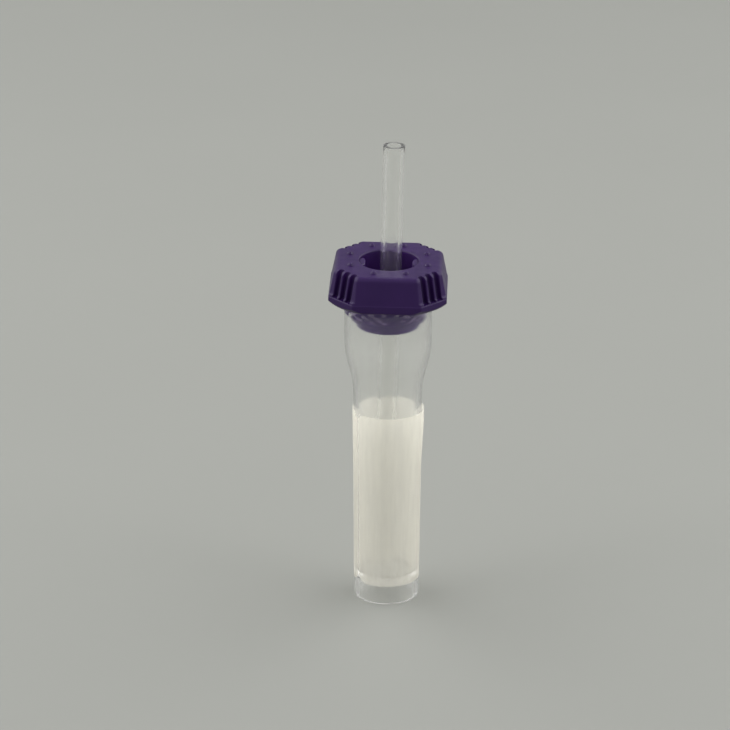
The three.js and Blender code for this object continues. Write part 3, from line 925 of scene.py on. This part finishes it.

# %% Where the plug is painted lighter, and where its dry seal is painted paler

cap_height = cap_points[:, 2]
# Painted light: the plug below the head is marked, and its purple is painted lighter there.
mark(cap, "plug_painted_light", 1 - smooth(cap_height, -0.3, 0.0))
# The dry parts of the seal are marked here, and the painted paler reflection goes on them.
drawn_back = seal_radius - np.linalg.norm(cap_points[:, :2], axis=1)
on_seal = (cap_height > -seal_end) & (cap_height < -0.25) & (drawn_back < 1.5 * dry_depth)
dry_seal = on_seal * smooth(drawn_back, 0.0, 0.8 * dry_depth)
mark(cap, "dry_seal", dry_seal)
print("share of the seal that is dry:", round(float(dry_seal.sum() / on_seal.sum()), 2))

# %% [markdown]
# ## Clear acrylic
#
# The capillary is drawn, not moulded: the plastic is pulled through a die, so it is clearer and glossier
# than the tube, with faint lines along it. It is sawn to length, and the cut faces stay dull.

# %% Material: clear acrylic


def clear_acrylic():
    material, tree, output = new_material("clear_acrylic_drawn")
    lines = noise(tree, 0.25, detail=1.0, stretch=(1, 1, 0.02))   # the die's lines, a quarter mm apart
    gloss = spread(tree, noise(tree, 0.8), 0.01, 0.04)
    sawn = add(tree, "ShaderNodeAttribute", attribute_name="cut_face").outputs["Fac"]
    gloss = add(tree, "ShaderNodeMath", {0: gloss, 1: sawn}, operation="MAXIMUM").outputs["Value"]
    bump = add(tree, "ShaderNodeBump", {"Height": lines, "Strength": 0.02, "Distance": 0.02 * MM})
    shader = add(tree, "ShaderNodeBsdfPrincipled", {
        "Base Color": linear("#fefefd"),
        "Roughness": gloss,
        "IOR": 1.49,
        "Transmission Weight": 0.99,
        "Normal": bump.outputs["Normal"],
    })
    lets_lamps_through(tree, output, shader, "#fafaf9")
    return material


acrylic = clear_acrylic()

# %% [markdown]
# ## The capillary
#
# An open tube, so its profile is a closed ring: out across the lower cut, up the outside, in across the
# upper cut and down the bore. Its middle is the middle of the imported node's points, and it leans along
# its own joint.

# %% Piece: the capillary

capillary_radius, capillary_bore, capillary_length, cut_round = 1.64, 1.05, 69.1, 0.09
capillary_columns = 96
cut_roughness = 0.7               # of a sawn face, against less than 0.04 on the drawn skin


def capillary_profile():
    """The section of the wall, its four corners rounded where the saw's burr was taken off."""
    half = capillary_length / 2
    low, high = capillary_bore + cut_round, capillary_radius - cut_round
    return np.vstack([
        arc(low, -half + cut_round, cut_round, 180, 270, 5),
        arc(high, -half + cut_round, cut_round, -90, 0, 5),
        straight((capillary_radius, -half + cut_round), (capillary_radius, half - cut_round), 40),
        arc(high, half - cut_round, cut_round, 0, 90, 5),
        arc(low, half - cut_round, cut_round, 90, 180, 5),
        straight((capillary_bore, half - cut_round), (capillary_bore, -half + cut_round), 40),
    ])


node_points = np.array([vertex.co for vertex in frame["nodes"]["capillary"].data.vertices])
capillary_middle = (node_points.max(axis=0) + node_points.min(axis=0)) / 2 / MM
points, faces = ring_mesh(turned(capillary_profile(), capillary_columns))
capillary = make_piece(
    "drawn_capillary", placed(points, capillary_axis, capillary_middle), faces, acrylic, "capillary",
    "clear_acrylic",
)
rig.replaces(capillary, "capillary")

along = np.abs(np.repeat(capillary_profile()[:, 1], capillary_columns))
capillary_end = capillary_length / 2
mark(capillary, "cut_face", cut_roughness * smooth(along, capillary_end - cut_round, capillary_end - 0.03))

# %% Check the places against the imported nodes

for piece, node in ((tube, "tube"), (label, "label"), (cap, "cap"), (capillary, "capillary")):
    own = np.array([vertex.co for vertex in piece.data.vertices])
    low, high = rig.box(node)
    apart = np.abs(np.array([own.min(axis=0) - low, own.max(axis=0) - high])).max() / MM
    print(f"{piece.name}: box within {apart:.3f} mm of its node's")

# %% [markdown]
# ## Stage, light and camera
#
# The tube stands on pale grey paper that runs on so far that no edge shows. Two wide soft boxes hang left
# and right, a little behind the tube, and draw its soft shadows forward to both sides. Two dim ones fill
# in from the front. A clear wall's edges mirror and bend what stands round it, so the room is lit to the
# paper's own grey: the edges then stay faint, and only the boxes draw a line on them. Past the boxes'
# reach the paper would go dark, so from about 0.4 m out it fades into the backdrop's grey, for the rays
# that look at it and not for those that light the tube.

# %% Floor
# Sizes here are in metres, except the floor's own grid.

fade_start, fade_end = 0.38, 0.9  # how far out the paper begins and ends turning into the backdrop
backdrop_grey = "#acada8"
floor_radius_mm, floor_rings, floor_columns = 2500.0, 16, 96


def floor_material():
    material, tree, output = new_material("paper_sweep_matt")
    fibre = noise(tree, 0.6, detail=3.0)
    colour = tinted(tree, spread(tree, noise(tree, 60.0, detail=2.0), 0, 1), "#8f908b", "#90918c")
    bump = add(tree, "ShaderNodeBump", {"Height": fibre, "Strength": 0.05, "Distance": 0.02 * MM})
    shader = add(tree, "ShaderNodeBsdfPrincipled", {
        "Base Color": colour, "Roughness": 0.8, "Specular IOR Level": 0.2, "Normal": bump.outputs["Normal"],
    })
    place = add(tree, "ShaderNodeTexCoord").outputs["Object"]
    away = add(tree, "ShaderNodeVectorMath", {0: place}, operation="LENGTH").outputs["Value"]
    far = add(tree, "ShaderNodeMapRange", {
        "Value": away, "From Min": fade_start, "From Max": fade_end,
    }, interpolation_type="SMOOTHSTEP").outputs["Result"]
    path = add(tree, "ShaderNodeLightPath")
    through = add(tree, "ShaderNodeMath", {
        0: path.outputs["Is Glossy Ray"], 1: path.outputs["Is Transmission Ray"],
    }, operation="MAXIMUM").outputs["Value"]
    looked = add(tree, "ShaderNodeMath", {
        0: path.outputs["Is Camera Ray"], 1: through,
    }, operation="MAXIMUM").outputs["Value"]
    share = add(tree, "ShaderNodeMath", {0: far, 1: looked}, operation="MULTIPLY").outputs["Value"]
    backdrop = add(tree, "ShaderNodeEmission", {"Color": linear(backdrop_grey), "Strength": 1.0})
    both = add(tree, "ShaderNodeMixShader", {
        0: share, 1: shader.outputs["BSDF"], 2: backdrop.outputs["Emission"],
    })
    tree.links.new(both.outputs["Shader"], output.inputs["Surface"])
    return material


ring_share = np.linspace(0.02, 1, floor_rings)
floor_grid = turned(np.stack([floor_radius_mm * ring_share ** 2, 0 * ring_share], axis=1), floor_columns)
around = np.arange(floor_columns)
floor_middle = np.full(floor_columns, floor_rings * floor_columns)
middle_faces = np.stack([around, np.roll(around, -1), floor_middle], axis=1).tolist()
floor_faces = [face[::-1] for face in grid_faces(floor_rings, floor_columns)] + middle_faces
floor_points = np.vstack([floor_grid.reshape(-1, 3), [[0, 0, 0]]]) * MM
floor_mesh = bpy.data.meshes.new("floor")
floor_mesh.from_pydata(floor_points.tolist(), [], floor_faces)
floor_mesh.materials.append(floor_material())
floor = bpy.data.objects.new("floor", floor_mesh)
bpy.context.scene.collection.objects.link(floor)
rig.stage(floor)
print("floor faces up:", floor_mesh.polygons[0].normal.z > 0)

# %% Lamps and world

lit_point = Vector((0, 0, 0.03))


def soft_box(name, place, size, power):
    """A rectangular lamp of size (width, height) in metres and power in watts, facing the tube's middle."""
    data = bpy.data.lights.new(name, "AREA")
    data.shape, data.size, data.size_y = "RECTANGLE", size[0], size[1]
    data.energy = power
    lamp = bpy.data.objects.new(name, data)
    lamp.location = place
    lamp.rotation_mode = "QUATERNION"
    lamp.rotation_quaternion = (lit_point - Vector(place)).to_track_quat("-Z", "Y")
    lamp.visible_camera = False
    bpy.context.scene.collection.objects.link(lamp)


for side, name in ((-1, "left"), (1, "right")):
    soft_box(f"{name}_box", (side * 0.46, 0.12, 0.42), (0.9, 0.8), 4.4)
    soft_box(f"{name}_fill", (side * 0.40, -0.42, 0.42), (0.6, 0.6), 0.7)

world = bpy.data.worlds.new("room")
bpy.context.scene.world = world
world.use_nodes = True
room = world.node_tree
room.nodes.clear()
seen = add(room, "ShaderNodeBackground", {"Color": linear(backdrop_grey), "Strength": 1.0})
lit = add(room, "ShaderNodeBackground", {"Color": linear("#f8f9fa"), "Strength": 0.46})
path = add(room, "ShaderNodeLightPath")
either = add(room, "ShaderNodeMixShader", {
    0: path.outputs["Is Camera Ray"], 1: lit.outputs["Background"], 2: seen.outputs["Background"],
})
add(room, "ShaderNodeOutputWorld", {"Surface": either.outputs["Shader"]})

# %% Camera
# A long lens, as on a product table: the angle of view is under twelve degrees.

picture_width = 730               # in dots
focal_length_dots = 3550          # the same unit, so that the angle of view is their ratio's
camera_data = bpy.data.cameras.new("camera")
camera_data.sensor_width = 36.0
camera_data.lens = camera_data.sensor_width * focal_length_dots / picture_width
camera = bpy.data.objects.new("camera", camera_data)
azimuth, pitch, yaw, roll = (math.radians(x) for x in (1.6, 20.95, 0.394, 0.24))
distance, height = 0.5085, 0.2328
camera.location = (distance * math.sin(azimuth), -distance * math.cos(azimuth), height)
heading, level = azimuth + yaw, math.cos(pitch)
way = Vector((-math.sin(heading) * level, math.cos(heading) * level, -math.sin(pitch)))
camera.rotation_mode = "QUATERNION"
camera.rotation_quaternion = way.to_track_quat("-Z", "Y") @ Matrix.Rotation(roll, 3, "Z").to_quaternion()
camera_data.clip_start, camera_data.clip_end = 0.01, 10.0
bpy.context.scene.collection.objects.link(camera)
bpy.context.scene.camera = camera

# %% Picture settings
scene = bpy.context.scene
scene.view_settings.view_transform = "Standard"
scene.cycles.transparent_max_bounces = 24   # a ray can cross a dozen open or clear faces here

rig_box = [list(corner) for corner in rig.bounds()]
with open("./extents.json", "w") as f:
    json.dump({"cad": cad_box, "visual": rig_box}, f)
